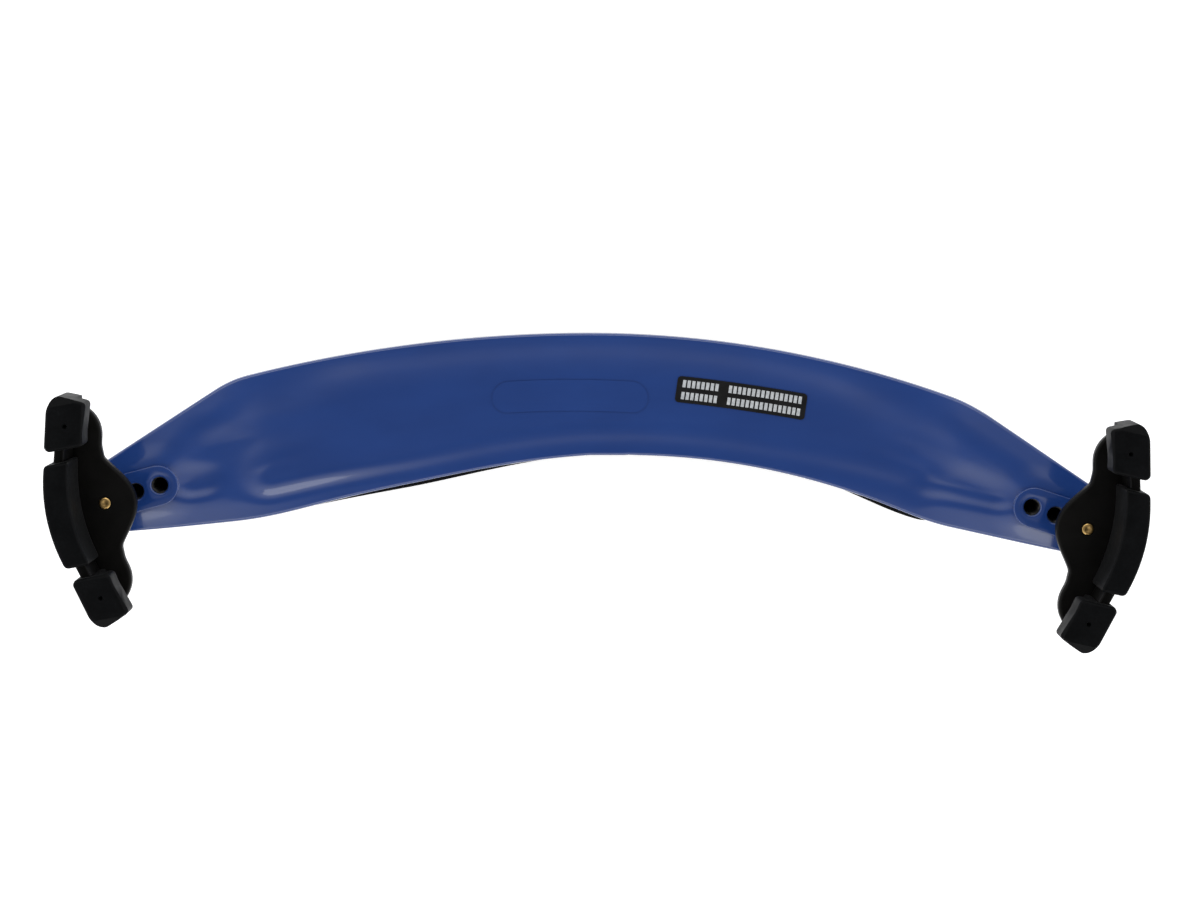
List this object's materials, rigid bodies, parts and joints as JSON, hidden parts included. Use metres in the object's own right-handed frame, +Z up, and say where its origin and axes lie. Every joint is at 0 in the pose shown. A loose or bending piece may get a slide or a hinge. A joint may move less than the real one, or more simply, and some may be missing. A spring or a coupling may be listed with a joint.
{
  "type": "viola shoulder rest",
  "caption": "Arched moulded shoulder rest for a viola, with a foam pad below and a turning, height-adjustable rubber-booted fork at each end.",
  "frame": {"origin": "middle of the whole rest's box, on the surface its foam pad stands on", "axes": "+X along the rest to the right-hand fork, +Y to the convex edge of the crescent, +Z up from the foam pad to the forks"},
  "size_m": [0.2694, 0.076, 0.06],
  "materials": {
    "platform": "gloss",
    "fork_plastic": "satin",
    "boot_rubber": "satin",
    "foam": "matte",
    "adhesive": "satin",
    "label": "satin",
    "bush_nylon": "satin",
    "post_brass": "polished"
  },
  "bodies": {
    "platform": {"platform_shell": "platform", "foam_pad": "foam", "adhesive_sheet": "adhesive", "blank_label": "label", "left_bush_inner": "bush_nylon", "left_bush_middle": "bush_nylon", "left_bush_outer": "bush_nylon", "right_bush_inner": "bush_nylon", "right_bush_middle": "bush_nylon", "right_bush_outer": "bush_nylon"},
    "left_post": {"left_post": "post_brass"},
    "left_fork": {"left_fork_plate": "fork_plastic", "left_rib_pad": "boot_rubber", "left_upper_claw": "boot_rubber", "left_lower_claw": "boot_rubber"},
    "right_post": {"right_post": "post_brass"},
    "right_fork": {"right_fork_plate": "fork_plastic", "right_rib_pad": "boot_rubber", "right_upper_claw": "boot_rubber", "right_lower_claw": "boot_rubber"}
  },
  "joints": [
    {"name": "left_height", "type": "slide", "parent": "platform", "child": "left_post", "axis": [0, 0, 1], "range_m": [-0.0055, 0.0075]},
    {"name": "left_turn", "type": "hinge", "parent": "left_post", "child": "left_fork", "pos_m": [-0.12226, -0.00267, 0.0455], "axis": [0, 0, 1], "range_deg": [-3240, 4320]},
    {"name": "right_height", "type": "slide", "parent": "platform", "child": "right_post", "axis": [0, 0, 1], "range_m": [-0.0055, 0.0075]},
    {"name": "right_turn", "type": "hinge", "parent": "right_post", "child": "right_fork", "pos_m": [0.12204, -0.00917, 0.0455], "axis": [0, 0, 1], "range_deg": [-3240, 4320]}
  ],
  "couplings": [
    {"joint": "left_height", "follows": "left_turn", "m_per_rad": 0.000095493},
    {"joint": "right_height", "follows": "right_turn", "m_per_rad": 0.000095493}
  ]
}
